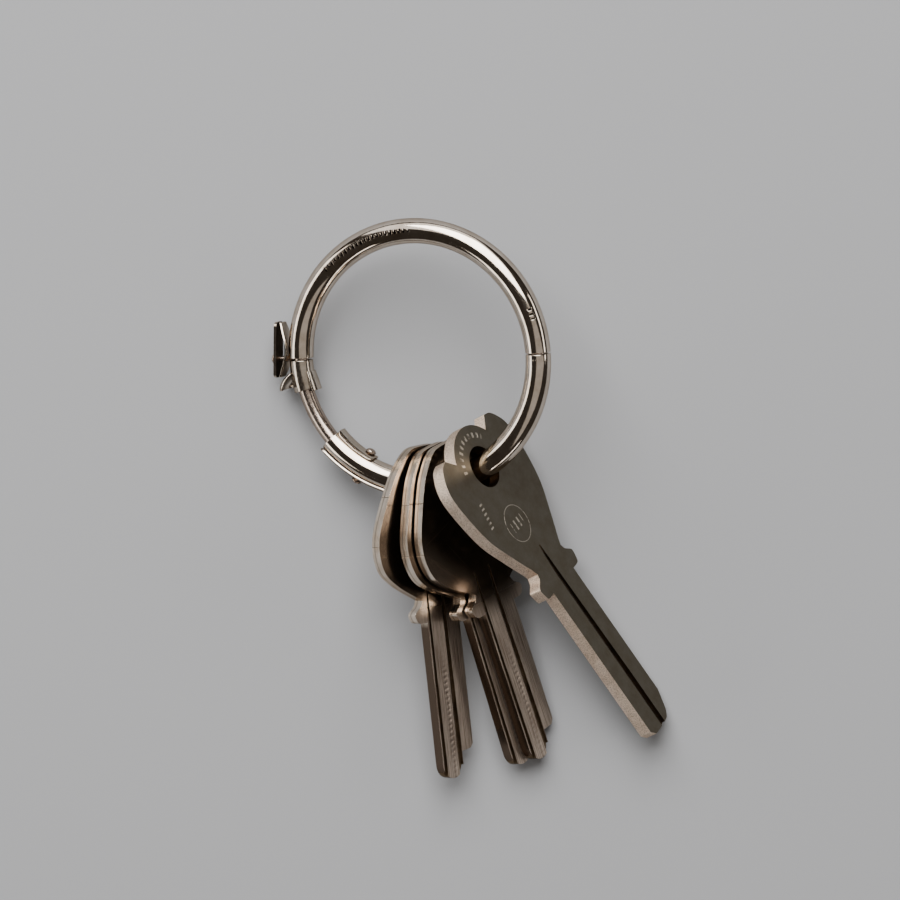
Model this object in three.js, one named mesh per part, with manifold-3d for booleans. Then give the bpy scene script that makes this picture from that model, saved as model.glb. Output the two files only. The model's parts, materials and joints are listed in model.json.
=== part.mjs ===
// A ring of keys: a hollow key ring that opens with a sprung bolt, and four uncut keys strung on it.
// Millimetres and degrees. +Z is up, and the ring of keys lies on the plane z = 0.
// The ring leans on its thumb piece, and the keys lean against each other on their edges.
import * as THREE from 'three';
import { mergeVertices } from 'three/addons/utils/BufferGeometryUtils.js';
import Module from 'manifold-3d';

const wasm = await Module();
wasm.setup();

// ---- Driving dimensions ----
const GAP = 0.3; // between pieces that touch on the real object

// Ring: angles run anticlockwise about the ring's axis, from its right-hand side.
const RING_RADIUS = 21.3; // to the middle of the tube
const RING_TILT = 22.3; // how far the ring's right-hand side is lifted
const TILT_AXIS_ANGLE = -70.5; // the level line across the ring that it tilts about
const TUBE_RADIUS = 2.15;
const BORE_RADIUS = 1.65;
const BOLT_RADIUS = 1.3;
const TUBE_STEP = 5; // degrees of ring in one step along a tube
const TUBE_SEGMENTS = 9; // half the number of sides round a tube

const SEAM_ANGLE = 3; // where the two tubes meet round the plug
const UPPER_END = 181.2; // end of the upper tube
const MOUTH_ANGLE = 196; // the ferrule's mouth, where the bolt comes out
const RECEIVER_ANGLE = 221.5; // mouth of the lower tube, where the bolt goes in
const BOLT_TIP = 227.5;
const BOLT_TAIL = 148;
const BOLT_TRAVEL = 34;
const SPRING_STOP = 97; // the spring pushes against a plug that ends here
const STOP_LENGTH = 6; // degrees of ring

const SHEET = 0.35; // thickness of the bent sheet pieces
const THUMB_ANGLE = 178;
const THUMB_LENGTH = 9.4;
const THUMB_WIDTH = 3.2;
const THUMB_LIFT = 1.2; // how far the saddle's ends rise off the tube to meet the plate
const THUMB_STAND_OFF = 1.75; // from the tube to the plate, with the saddle's hollow between them
const RIVET_ANGLE = 181.6;
const RIVET_RADIUS = 0.5;
const RIVET_HEAD_RADIUS = 0.9;
const RIVET_HEAD_HEIGHT = 0.6;

const FERRULE_RADIUS = 2;
const FERRULE_BORE = 1.6;
const LIP_START = 187.5;
const OUTER_LIP_RADIUS = 4.4; // how far the ferrule's flared lips reach from the tube's middle line
const OUTER_LIP_END = 193.8;
const INNER_LIP_RADIUS = 2.6;
const INNER_LIP_END = 197.5;
const LIP_HALF_ANGLE = 46;

const RECEIVER_RIVET_ANGLE = 240.8;
const RECEIVER_PLATE_LIFT = 0.15; // how far a plate stands off at the mouth
const OUTER_PLATE_END = 256;
const INNER_PLATE_END = 244.5;

// Keys: y runs up the bow, the blade runs down to -y, and the hole's centre is the key's origin.
const HOLE_RADIUS = 3.7;
const GROOVE_DEPTH = 0.55;
const BELL_THICKNESS = 1.8;
const BELL_BLADE_HALF = 3.6;
const BELL_NECK_HALF = 4.3;
const SHOULDERED_THICKNESS = 2.2;
const SHOULDERED_BLADE_HALF = 4.45;
const SHOULDERED_NECK_HALF = 5.2;

const rad = THREE.MathUtils.degToRad;
const lerp = THREE.MathUtils.lerp;

// ---- Solid helpers ----

function toSolid(geometry) {
  const bare = geometry.clone();
  bare.deleteAttribute('normal');
  bare.deleteAttribute('uv');
  const merged = mergeVertices(bare, 1e-5);
  const mesh = new wasm.Mesh({
    numProp: 3,
    vertProperties: new Float32Array(merged.attributes.position.array),
    triVerts: new Uint32Array(merged.index.array),
  });
  return new wasm.Manifold(mesh);
}

function toGeometry(solid) {
  const mesh = solid.getMesh();
  const geometry = new THREE.BufferGeometry();
  geometry.setAttribute('position', new THREE.BufferAttribute(mesh.vertProperties, 3));
  geometry.setIndex(new THREE.BufferAttribute(mesh.triVerts, 1));
  geometry.computeVertexNormals();
  return geometry;
}

function cut(geometry, tools) {
  const solid = tools.reduce((left, tool) => left.subtract(toSolid(tool)), toSolid(geometry));
  return toGeometry(solid);
}

function join(geometries) {
  return toGeometry(geometries.map(toSolid).reduce((all, next) => all.add(next)));
}

// A bent block with pointAt(u, v, w), each from 0 to 1, where w runs outwards and u x v points along w.
function bentBlock(pointAt, uSteps, vSteps) {
  const positions = [];
  const triangles = [];
  const row = vSteps + 1;
  const layer = row * (uSteps + 1);
  for (const w of [0, 1]) {
    for (let i = 0; i <= uSteps; i++) {
      for (let j = 0; j <= vSteps; j++) {
        positions.push(...pointAt(i / uSteps, j / vSteps, w).toArray());
      }
    }
  }
  const quad = (a, b, c, d) => triangles.push(a, b, c, a, c, d);
  for (let i = 0; i < uSteps; i++) {
    for (let j = 0; j < vSteps; j++) {
      const a = i * row + j;
      quad(layer + a, layer + a + row, layer + a + row + 1, layer + a + 1);
      quad(a, a + 1, a + row + 1, a + row);
    }
  }
  for (let i = 0; i < uSteps; i++) {
    const near = i * row;
    const far = near + vSteps;
    quad(near, near + row, layer + near + row, layer + near);
    quad(far + row, far, layer + far, layer + far + row);
  }
  for (let j = 0; j < vSteps; j++) {
    const end = uSteps * row + j;
    quad(j + 1, j, layer + j, layer + j + 1);
    quad(end, end + 1, layer + end + 1, layer + end);
  }
  const geometry = new THREE.BufferGeometry();
  geometry.setAttribute('position', new THREE.Float32BufferAttribute(positions, 3));
  geometry.setIndex(triangles);
  geometry.computeVertexNormals();
  return geometry;
}

// ---- Ring helpers, in the ring's own flat frame ----

// A point by its angle round the ring, and its angle and distance round the tube's middle line.
function ringPoint(ringAngle, sectionAngle, sectionRadius) {
  const radial = RING_RADIUS + sectionRadius * Math.cos(rad(sectionAngle));
  const axial = sectionRadius * Math.sin(rad(sectionAngle));
  return new THREE.Vector3(radial * Math.cos(rad(ringAngle)), radial * Math.sin(rad(ringAngle)), axial);
}

class RingArc extends THREE.Curve {
  constructor(start, end) {
    super();
    this.start = start;
    this.end = end;
  }

  getPoint(t) {
    return ringPoint(lerp(this.start, this.end, t), 0, 0);
  }
}

function ringTube(start, end, outerRadius, boreRadius = 0) {
  const section = new THREE.Shape().absarc(0, 0, outerRadius, 0, 2 * Math.PI);
  if (boreRadius > 0) {
    section.holes.push(new THREE.Path().absarc(0, 0, boreRadius, 0, 2 * Math.PI));
  }
  return new THREE.ExtrudeGeometry(section, {
    extrudePath: new RingArc(start, end),
    steps: Math.ceil((end - start) / TUBE_STEP),
    curveSegments: TUBE_SEGMENTS,
  });
}

// A sheet wrapped part of the way round the tube, centred on sectionAngle. lift(u) is its clearance.
function wrappedSheet(start, end, sectionAngle, halfWidth, lift) {
  const pointAt = (u, v, w) => {
    const radius = TUBE_RADIUS + lift(u);
    const spread = THREE.MathUtils.radToDeg(Math.asin(halfWidth / radius));
    const angle = sectionAngle + lerp(-spread, spread, v);
    return ringPoint(lerp(start, end, u), angle, radius + w * SHEET);
  };
  return bentBlock(pointAt, 8, 8);
}

// A rod whose axis crosses the ring's middle line at ringAngle, between two distances from the centre.
function radialRod(ringAngle, radius, inner, outer) {
  const rod = new THREE.CylinderGeometry(radius, radius, outer - inner, 16);
  rod.translate(0, (inner + outer) / 2, 0);
  rod.rotateZ(rad(ringAngle - 90));
  return rod;
}

// ---- Fixed pieces of the ring ----

// The slot that the thumb rivet slides along, on the outside of the ring.
function thumbSlot() {
  const start = RIVET_ANGLE - BOLT_TRAVEL - 3;
  const end = RIVET_ANGLE + 3;
  const halfWidth = RIVET_RADIUS + GAP;
  const pointAt = (u, v, w) => {
    const radial = RING_RADIUS + 1 + w * TUBE_RADIUS;
    const angle = rad(lerp(start, end, u));
    return new THREE.Vector3(
      radial * Math.cos(angle), radial * Math.sin(angle), lerp(-halfWidth, halfWidth, v));
  };
  return bentBlock(pointAt, 10, 1);
}

function upperTube() {
  return cut(ringTube(SEAM_ANGLE + GAP, UPPER_END, TUBE_RADIUS, BORE_RADIUS), [thumbSlot()]);
}

function lowerTube() {
  return cut(
    ringTube(RECEIVER_ANGLE, 360 + SEAM_ANGLE - GAP, TUBE_RADIUS, BORE_RADIUS),
    [radialRod(RECEIVER_RIVET_ANGLE, RIVET_RADIUS + GAP, 15, 28)]);
}

function ferruleLip(sectionAngle, reach, end) {
  const pointAt = (u, v, w) => {
    const base = lerp(FERRULE_RADIUS - 0.15, reach - SHEET, u * u);
    const angle = sectionAngle + lerp(-LIP_HALF_ANGLE, LIP_HALF_ANGLE, v);
    return ringPoint(lerp(LIP_START, end, u), angle, base + w * SHEET);
  };
  return bentBlock(pointAt, 4, 6);
}

function mouthFerrule() {
  const sleeve = ringTube(UPPER_END + 1, MOUTH_ANGLE, FERRULE_RADIUS, FERRULE_BORE);
  const outerLip = ferruleLip(0, OUTER_LIP_RADIUS, OUTER_LIP_END);
  const innerLip = ferruleLip(180, INNER_LIP_RADIUS, INNER_LIP_END);
  const ferrule = join([sleeve, outerLip, innerLip]);
  return cut(ferrule, [thumbSlot()]);
}

function receiverPlate(sectionAngle, end) {
  const sheet = wrappedSheet(RECEIVER_ANGLE, end, sectionAngle, 1.5,
    (u) => GAP + RECEIVER_PLATE_LIFT * (1 - u) ** 2);
  return cut(sheet, [radialRod(RECEIVER_RIVET_ANGLE, RIVET_RADIUS + GAP, 15, 28)]);
}

function receiverRivet() {
  const reach = TUBE_RADIUS + 2 * GAP + SHEET + 0.1;
  const inner = RING_RADIUS - reach;
  const outer = RING_RADIUS + reach;
  return join([
    radialRod(RECEIVER_RIVET_ANGLE, RIVET_RADIUS, inner - 0.1, outer + 0.1),
    radialRod(RECEIVER_RIVET_ANGLE, RIVET_HEAD_RADIUS, inner - RIVET_HEAD_HEIGHT, inner),
    radialRod(RECEIVER_RIVET_ANGLE, RIVET_HEAD_RADIUS, outer, outer + RIVET_HEAD_HEIGHT),
  ]);
}

// ---- Pieces that slide round the ring with the bolt ----

const PLATE_INNER = RING_RADIUS + TUBE_RADIUS + THUMB_STAND_OFF;
const PLATE_OUTER = PLATE_INNER + 0.45;

function bolt() {
  const rod = ringTube(BOLT_TAIL, BOLT_TIP, BOLT_RADIUS);
  return cut(rod, [radialRod(RIVET_ANGLE, RIVET_RADIUS + GAP, RING_RADIUS + 0.2, RING_RADIUS + 3)]);
}

function thumbSaddle() {
  const halfAngle = THREE.MathUtils.radToDeg(THUMB_LENGTH / 2 / PLATE_INNER);
  const sheet = wrappedSheet(THUMB_ANGLE - halfAngle, THUMB_ANGLE + halfAngle, 0, THUMB_WIDTH / 2 + 0.2,
    (u) => GAP + THUMB_LIFT * (2 * u - 1) ** 2);
  return cut(sheet, [radialRod(RIVET_ANGLE, RIVET_RADIUS + GAP, 23, 28)]);
}

function thumbPlate() {
  const corner = 0.8;
  const halfLength = THUMB_LENGTH / 2;
  const halfWidth = THUMB_WIDTH / 2;
  const outline = new THREE.Shape();
  outline.absarc(halfLength - corner, halfWidth - corner, corner, 0, Math.PI / 2);
  outline.absarc(corner - halfLength, halfWidth - corner, corner, Math.PI / 2, Math.PI);
  outline.absarc(corner - halfLength, corner - halfWidth, corner, Math.PI, 1.5 * Math.PI);
  outline.absarc(halfLength - corner, corner - halfWidth, corner, 1.5 * Math.PI, 2 * Math.PI);
  const plate = new THREE.ExtrudeGeometry(outline, {
    depth: PLATE_OUTER - PLATE_INNER, bevelEnabled: false, curveSegments: 4,
  });
  plate.rotateX(Math.PI / 2);
  plate.translate(0, PLATE_OUTER, 0);
  plate.rotateZ(rad(THUMB_ANGLE - 90));
  return cut(plate, [radialRod(RIVET_ANGLE, RIVET_RADIUS + GAP, 23, 28)]);
}

function thumbRivet() {
  const seat = PLATE_OUTER + GAP;
  return join([
    radialRod(RIVET_ANGLE, RIVET_RADIUS, RING_RADIUS + 0.5, seat + 0.1),
    radialRod(RIVET_ANGLE, RIVET_HEAD_RADIUS, seat, seat + RIVET_HEAD_HEIGHT),
  ]);
}

class SpringCoil extends THREE.Curve {
  getPoint(t) {
    const coils = 9;
    const coilRadius = 1.1;
    return ringPoint(lerp(SPRING_STOP + 1.6, BOLT_TAIL - 1.6, t), 360 * coils * t, coilRadius);
  }
}

function boltSpring() {
  const wire = new THREE.Shape().absarc(0, 0, 0.25, 0, 2 * Math.PI);
  return new THREE.ExtrudeGeometry(wire, { extrudePath: new SpringCoil(), steps: 108, curveSegments: 3 });
}

// ---- Keys ----

const vectors = (points) => points.map(([x, y]) => new THREE.Vector2(x, y));

// A bow with a round lobe over the hole between two shoulders, widest level with the hole.
function shoulderedBow() {
  const lobe = 7.5;
  const notch = rad(32);
  const top = new THREE.EllipseCurve(0, 0, lobe, lobe, Math.PI / 2, notch, true).getPoints(8);
  const side = new THREE.SplineCurve(vectors([
    [8.4, 5.9], [10.4, 5.2], [12.4, 2.4], [12.7, -1.5], [11.2, -8.8], [8.3, -14.2],
    [SHOULDERED_NECK_HALF + 0.5, -18.4],
  ])).getPoints(24);
  return [...top, ...side];
}

// A bow shaped like a bell: narrow and round at the hole, and widest near the collar.
function bellBow() {
  return new THREE.SplineCurve(vectors([
    [0, 6.5], [3.1, 6.2], [5.9, 3.9], [8.1, 1], [11.4, -5], [12.4, -8], [12.5, -10.8],
    [11.6, -13.6], [9.2, -16], [6.2, -18], [BELL_NECK_HALF + 0.3, -19],
  ])).getPoints(36);
}

// The far end of the blade, from its right edge round to its left edge.
function steppedTip(bladeHalf, tipY) {
  const stepX = 1;
  const round = new THREE.EllipseCurve(
    (stepX - bladeHalf) / 2, tipY + 2.4, (stepX + bladeHalf) / 2, 2.4, 0, -Math.PI, true);
  return [
    ...vectors([[bladeHalf, tipY + 5.2], [bladeHalf - 0.6, tipY + 4.4], [stepX, tipY + 4.2]]),
    ...round.getPoints(10),
  ];
}

function slantedTip(bladeHalf, tipY) {
  return vectors([
    [bladeHalf, tipY + 4.6], [bladeHalf - 1.4, tipY + 1.3], [bladeHalf - 2.4, tipY + 0.3],
    [bladeHalf - 4, tipY], [1.2 - bladeHalf, tipY], [-bladeHalf, tipY + 1],
  ]);
}

function keyOutline({ bow, tip, bladeHalf, neckHalf, hookHalf, hookY, collarY, tipY }) {
  const collar = vectors([
    [neckHalf, hookY + 2.4], [neckHalf + 0.5, hookY + 1.4], [hookHalf - 0.3, hookY + 0.6], [hookHalf, hookY],
    [hookHalf - 0.5, collarY + 0.3], [hookHalf - 1.2, collarY], [bladeHalf, collarY],
  ]);
  const right = [...bow(), ...collar];
  const left = right.map((point) => new THREE.Vector2(-point.x, point.y)).reverse();
  return new THREE.Shape([...right, ...tip(bladeHalf, tipY), ...left]);
}

// A groove milled along one face, from the tip back past the collar.
function bladeGroove(x, width, faceZ, start, tipY) {
  const length = start - tipY + 2;
  const groove = new THREE.BoxGeometry(width, length, GROOVE_DEPTH * 2);
  groove.translate(x, start - length / 2, faceZ);
  return groove;
}

function keyBlank(blank) {
  const { thickness, collarY, tipY, grooves } = blank;
  const outline = keyOutline(blank);
  outline.holes.push(new THREE.Path().absarc(0, 0, HOLE_RADIUS, 0, 2 * Math.PI));
  const plate = new THREE.ExtrudeGeometry(outline, {
    depth: thickness, bevelEnabled: false, curveSegments: 14,
  });
  plate.translate(0, 0, -thickness / 2);
  const grooveTools = grooves.map(
    ({ x, width, face }) => bladeGroove(x, width, face * thickness / 2, collarY + 4, tipY));
  return cut(plate, grooveTools);
}

// Grooves are placed across the blade: face 1 is the front and -1 the back.
const BELL_KEY = {
  bow: bellBow,
  tip: steppedTip,
  thickness: BELL_THICKNESS,
  bladeHalf: BELL_BLADE_HALF,
  neckHalf: BELL_NECK_HALF,
  hookHalf: 6.2,
  hookY: -21.6,
  collarY: -23,
  tipY: -50,
  grooves: [
    { x: -3, width: 0.7, face: 1 },
    { x: 0.45, width: 1, face: 1 },
    { x: -1.4, width: 1.2, face: -1 },
  ],
};
const SHOULDERED_KEY = {
  bow: shoulderedBow,
  tip: slantedTip,
  thickness: SHOULDERED_THICKNESS,
  bladeHalf: SHOULDERED_BLADE_HALF,
  neckHalf: SHOULDERED_NECK_HALF,
  hookHalf: 7.2,
  hookY: -21.8,
  collarY: -23.8,
  tipY: -54,
  grooves: [
    { x: 0.1, width: 1.4, face: 1 },
    { x: 2.6, width: 1.2, face: -1 },
  ],
};

// Each key: the place of its hole round the ring, the compass turn, nose-down pitch and roll of its plane,
// and how far its blade has swung in that plane.
const KEYS = [
  { name: 'key_left', blank: BELL_KEY, ringAngle: 271.5, turn: 6.2, pitch: 6.6, roll: 42.1, swing: 0 },
  { name: 'key_middle_rear', blank: BELL_KEY, ringAngle: 279.5, turn: 18, pitch: 11.7, roll: 41.7, swing: -1.6 },
  { name: 'key_middle_front', blank: BELL_KEY, ringAngle: 286, turn: 18, pitch: 11.7, roll: 41.7, swing: 0 },
  { name: 'key_right', blank: SHOULDERED_KEY, ringAngle: 299.2, turn: 34.9, pitch: 11.6, roll: 54.4, swing: 0 },
];

// ---- Assembly ----

function piece(name, geometry, color, roughness, metalness) {
  const material = new THREE.MeshStandardMaterial({ color, roughness, metalness });
  const mesh = new THREE.Mesh(geometry, material);
  mesh.name = name;
  return mesh;
}

const NICKEL = 0xb9aca0;
const STEEL = 0x8d8680;
const SPRING_STEEL = 0x77736f;
const KEY_NICKEL = 0x6f665c;

const ring = new THREE.Group();
const tiltAxis = new THREE.Vector3(Math.cos(rad(TILT_AXIS_ANGLE)), Math.sin(rad(TILT_AXIS_ANGLE)), 0);
ring.quaternion.setFromAxisAngle(tiltAxis, rad(RING_TILT));
ring.add(
  piece('upper_tube', upperTube(), NICKEL, 0.18, 1),
  piece('lower_tube', lowerTube(), NICKEL, 0.18, 1),
  piece('joint_plug', ringTube(SEAM_ANGLE - 10, SEAM_ANGLE + 10, BORE_RADIUS - GAP - 0.05), STEEL, 0.4, 1),
  piece('spring_stop', ringTube(SPRING_STOP - STOP_LENGTH, SPRING_STOP, BORE_RADIUS - GAP - 0.05), STEEL, 0.4, 1),
  piece('mouth_ferrule', mouthFerrule(), NICKEL, 0.22, 1),
  piece('receiver_plate_outer', receiverPlate(0, OUTER_PLATE_END), NICKEL, 0.22, 1),
  piece('receiver_plate_inner', receiverPlate(180, INNER_PLATE_END), NICKEL, 0.22, 1),
  piece('receiver_rivet', receiverRivet(), STEEL, 0.3, 1),
  piece('bolt', bolt(), STEEL, 0.25, 1),
  piece('bolt_spring', boltSpring(), SPRING_STEEL, 0.35, 1),
  piece('thumb_saddle', thumbSaddle(), NICKEL, 0.22, 1),
  piece('thumb_plate', thumbPlate(), NICKEL, 0.22, 1),
  piece('thumb_rivet', thumbRivet(), STEEL, 0.25, 1),
);
ring.updateMatrixWorld(true);

const ringOfKeys = new THREE.Group();
ringOfKeys.add(ring);

for (const { name, blank, ringAngle, turn, pitch, roll, swing } of KEYS) {
  const key = piece(name, keyBlank(blank), KEY_NICKEL, 0.4, 1);
  key.rotation.z = rad(swing);
  const plane = new THREE.Group();
  plane.position.copy(ringPoint(ringAngle, 0, 0).applyMatrix4(ring.matrixWorld));
  plane.rotation.set(rad(pitch), rad(roll), rad(turn), 'ZXY');
  plane.add(key);
  ringOfKeys.add(plane);
}

// The origin is the middle of the footprint, on the surface that the ring of keys lies on.
ringOfKeys.updateMatrixWorld(true);
const extent = new THREE.Box3().setFromObject(ringOfKeys, true);
const middle = extent.getCenter(new THREE.Vector3());
ringOfKeys.position.set(-middle.x, -middle.y, -extent.min.z);

export default ringOfKeys;
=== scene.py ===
"""Looks for a ring of keys: a tubular bolt ring with four uncut keys hanging on it.

Sizes are in millimetres and angles in degrees, and mesh code turns them into metres.
The ring's place and each key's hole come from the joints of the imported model.
"""

import json
import math

import bmesh
import bpy
from mathutils import Matrix, Vector


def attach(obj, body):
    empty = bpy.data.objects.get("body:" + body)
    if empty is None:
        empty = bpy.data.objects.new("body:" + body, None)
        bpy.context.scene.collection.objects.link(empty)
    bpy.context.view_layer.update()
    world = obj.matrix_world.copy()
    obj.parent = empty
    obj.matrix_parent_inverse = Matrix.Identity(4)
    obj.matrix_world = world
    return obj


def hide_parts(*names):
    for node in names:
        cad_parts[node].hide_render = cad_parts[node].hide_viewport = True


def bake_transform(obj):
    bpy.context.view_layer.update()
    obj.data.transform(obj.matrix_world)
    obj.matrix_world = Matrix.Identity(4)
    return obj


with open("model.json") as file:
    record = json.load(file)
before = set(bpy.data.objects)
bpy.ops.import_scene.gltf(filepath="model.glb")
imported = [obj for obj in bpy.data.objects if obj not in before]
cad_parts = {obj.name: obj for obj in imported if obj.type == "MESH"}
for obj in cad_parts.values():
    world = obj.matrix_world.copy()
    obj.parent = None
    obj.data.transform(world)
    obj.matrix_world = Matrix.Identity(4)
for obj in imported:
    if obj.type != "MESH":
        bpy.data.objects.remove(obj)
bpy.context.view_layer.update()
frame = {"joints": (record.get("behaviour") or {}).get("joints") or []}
joints = {joint["name"]: joint for joint in frame["joints"]}

MM = 0.001
TUBE_SIDES = 48

# ---- Driving dimensions of the ring ----

RING_RADIUS = 21.3
TUBE_RADIUS = 2.13
BORE_RADIUS = 1.65
BOLT_RADIUS = 1.3
PLUG_RADIUS = 1.3
SHEET = 0.35
GAP = 0.3

SEAM_ANGLE = 3
UPPER_END = 181.2
MOUTH_ANGLE = 196
RECEIVER_ANGLE = 221.5
BOLT_TAIL = 148
BOLT_TIP = 227.5
BOLT_TRAVEL = 34
SLOT_END_ROOM = 3
SPRING_STOP = 97
STOP_LENGTH = 6

THUMB_ANGLE = 178
THUMB_LENGTH = 9.4
THUMB_WIDTH = 3.2
THUMB_LIFT = 1.2
THUMB_STAND_OFF = 1.75
THUMB_SEAT = RING_RADIUS + 2.15  # the thumb piece is measured from here, just outside the tube
SADDLE_BEND = 2.45  # radius of the saddle's section at its middle
SADDLE_END_BEND = 8  # and at its ends, which are nearly flat
RIVET_ANGLE = 181.6
RIVET_RADIUS = 0.5
RIVET_HEAD_RADIUS = 0.9
RIVET_HEAD_HEIGHT = 0.6

FERRULE_RADIUS = 2
FERRULE_BORE = 1.6
LIP_START = 187.5
LIP_HALF_ANGLE = 46
OUTER_LIP_RADIUS = 4.4
OUTER_LIP_END = 193.8
INNER_LIP_RADIUS = 2.6
INNER_LIP_END = 197.5

RECEIVER_RIVET_ANGLE = 240.8
RECEIVER_PLATE_LIFT = 0.12
RECEIVER_PLATE_HALF = 1.5
OUTER_PLATE_END = 256
INNER_PLATE_END = 244.5
PLATE_INNER = THUMB_SEAT + THUMB_STAND_OFF
PLATE_THICKNESS = 0.45
PLATE_OUTER = PLATE_INNER + PLATE_THICKNESS

# ---- Driving dimensions of the keys ----

HOLE_RADIUS = 3.7
GROOVE_DEPTH = 0.55
GROOVE_RUN_OUT = 5  # length over which the cutter leaves the metal
BELL_NECK_HALF = 4.3
SHOULDERED_NECK_HALF = 5.2

# ---- Camera: straight above, framed as wide as the photograph ----

CAMERA_HEIGHT = 1200
FIELD_WIDTH = 150.6
VIEW_OFFSET = (5.2, -15.5)  # from the ring's middle to the middle of the view


def lerp(a, b, t):
    return a + (b - a) * t


# ---- Mesh helpers ----


def ring_matrix():
    joint = joints["bolt_slide"]
    turn = Vector((0, 0, 1)).rotation_difference(Vector(joint["axis"]))
    return Matrix.Translation(Vector(joint["pos_m"])) @ turn.to_matrix().to_4x4()


RING = ring_matrix()


def ring_place(ring_angle, radial, axial):
    """A point by its angle round the ring, its distance from the ring's axis and its height on it."""
    around = math.radians(ring_angle)
    return RING @ (Vector((radial * math.cos(around), radial * math.sin(around), axial)) * MM)


def ring_point(ring_angle, section_angle, section_radius):
    """A point by its angle round the ring, and its angle and distance round the tube's middle line."""
    section = math.radians(section_angle)
    radial = RING_RADIUS + section_radius * math.cos(section)
    return ring_place(ring_angle, radial, section_radius * math.sin(section))


def shell(point_at, u_steps, v_steps, wraps=False, keep=lambda i, j: True):
    """A closed sheet between the surfaces point_at(u, v, 0) and point_at(u, v, 1), u and v from 0 to 1.
    wraps joins v = 1 to v = 0, and keep(i, j) leaves out cells where the sheet has an opening."""
    bm = bmesh.new()
    columns = v_steps if wraps else v_steps + 1
    layers = []
    for w in (0, 1):
        rows = []
        for i in range(u_steps + 1):
            rows.append([bm.verts.new(point_at(i / u_steps, j / v_steps, w)) for j in range(columns)])
        layers.append(rows)
    inner, outer = layers
    partner = {}
    for outer_row, inner_row in zip(outer, inner):
        partner.update(zip(outer_row, inner_row))
    for i in range(u_steps):
        for j in range(v_steps):
            if not keep(i, j):
                continue
            k = (j + 1) % columns
            corners = [outer[i][j], outer[i + 1][j], outer[i + 1][k], outer[i][k]]
            bm.faces.new(corners)
    rims = [edge for edge in bm.edges if edge.is_boundary]
    for face in list(bm.faces):
        bm.faces.new([partner[vert] for vert in reversed(face.verts)])
    for edge in rims:
        a, b = edge.verts
        bm.faces.new([a, b, partner[b], partner[a]])
    loose = [vert for vert in bm.verts if not vert.link_faces]
    bmesh.ops.delete(bm, geom=loose, context="VERTS")
    bmesh.ops.recalc_face_normals(bm, faces=bm.faces)
    return bm


def ring_layer(bm):
    """Gives each corner its place along the ring and round the tube in millimetres, for the finishes."""
    layer = bm.loops.layers.uv.new("along")
    back = RING.inverted()
    for face in bm.faces:
        middle = back @ face.calc_center_median()
        reference = math.atan2(middle.y, middle.x)
        for loop in face.loops:
            point = back @ loop.vert.co
            around = math.atan2(point.y, point.x)
            around += 2 * math.pi * round((reference - around) / (2 * math.pi))
            around %= 2 * math.pi
            radial = math.hypot(point.x, point.y) - RING_RADIUS * MM
            section = math.atan2(point.z, radial)
            loop[layer].uv = (around * RING_RADIUS, section * TUBE_RADIUS)
    return bm


def ring_shell(start, end, outer, bore, keep=lambda i, j: True):
    """A hollow bent tube. Its faces are about one degree long."""
    steps = max(1, round(end - start))

    def point_at(u, v, w):
        return ring_point(lerp(start, end, u), 360 * v, lerp(bore, outer, w))

    return ring_layer(shell(point_at, steps, TUBE_SIDES, wraps=True, keep=keep))


def ring_rod(start, end, radius, nose):
    """A solid bent rod. Its ends are rounded over a length of nose."""
    sides = 32
    bm = bmesh.new()
    nose_angle = math.degrees(nose / RING_RADIUS)
    cap = []
    for step in range(7):
        lean = math.radians(15 * step)
        cap.append((nose_angle * (1 - math.cos(lean)), radius - nose * (1 - math.sin(lean))))
    middle = range(math.ceil(start + nose_angle) + 1, math.floor(end - nose_angle))
    stations = [(start + angle, size) for angle, size in cap]
    stations += [(angle, radius) for angle in middle]
    stations += [(end - angle, size) for angle, size in reversed(cap)]
    rows = []
    for angle, size in stations:
        rows.append([bm.verts.new(ring_point(angle, 360 * j / sides, size)) for j in range(sides)])
    for near, far in zip(rows, rows[1:]):
        for j in range(sides):
            k = (j + 1) % sides
            bm.faces.new([near[j], far[j], far[k], near[k]])
    bm.faces.new(rows[0])
    bm.faces.new(list(reversed(rows[-1])))
    bmesh.ops.recalc_face_normals(bm, faces=bm.faces)
    return ring_layer(bm)


def turned(profile, matrix):
    """A solid of revolution about the matrix's z axis. profile is (radius, height), from axis to axis."""
    sides = 40
    bm = bmesh.new()
    rows = []
    for radius, height in profile:
        if radius == 0:
            rows.append([bm.verts.new(matrix @ (Vector((0, 0, height)) * MM))])
            continue
        row = []
        for j in range(sides):
            a = 2 * math.pi * j / sides
            point = Vector((radius * math.cos(a), radius * math.sin(a), height)) * MM
            row.append(bm.verts.new(matrix @ point))
        rows.append(row)
    for near, far in zip(rows, rows[1:]):
        for j in range(sides):
            k = (j + 1) % sides
            if len(near) == 1:
                bm.faces.new([near[0], far[j], far[k]])
            elif len(far) == 1:
                bm.faces.new([near[j], far[0], near[k]])
            else:
                bm.faces.new([near[j], far[j], far[k], near[k]])
    bmesh.ops.recalc_face_normals(bm, faces=bm.faces)
    return bm


def merged(*parts):
    """One mesh with several closed solids in it."""
    whole = bmesh.new()
    for part in parts:
        mesh = bpy.data.meshes.new("part")
        part.to_mesh(mesh)
        part.free()
        whole.from_mesh(mesh)
        bpy.data.meshes.remove(mesh)
    return whole


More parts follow.
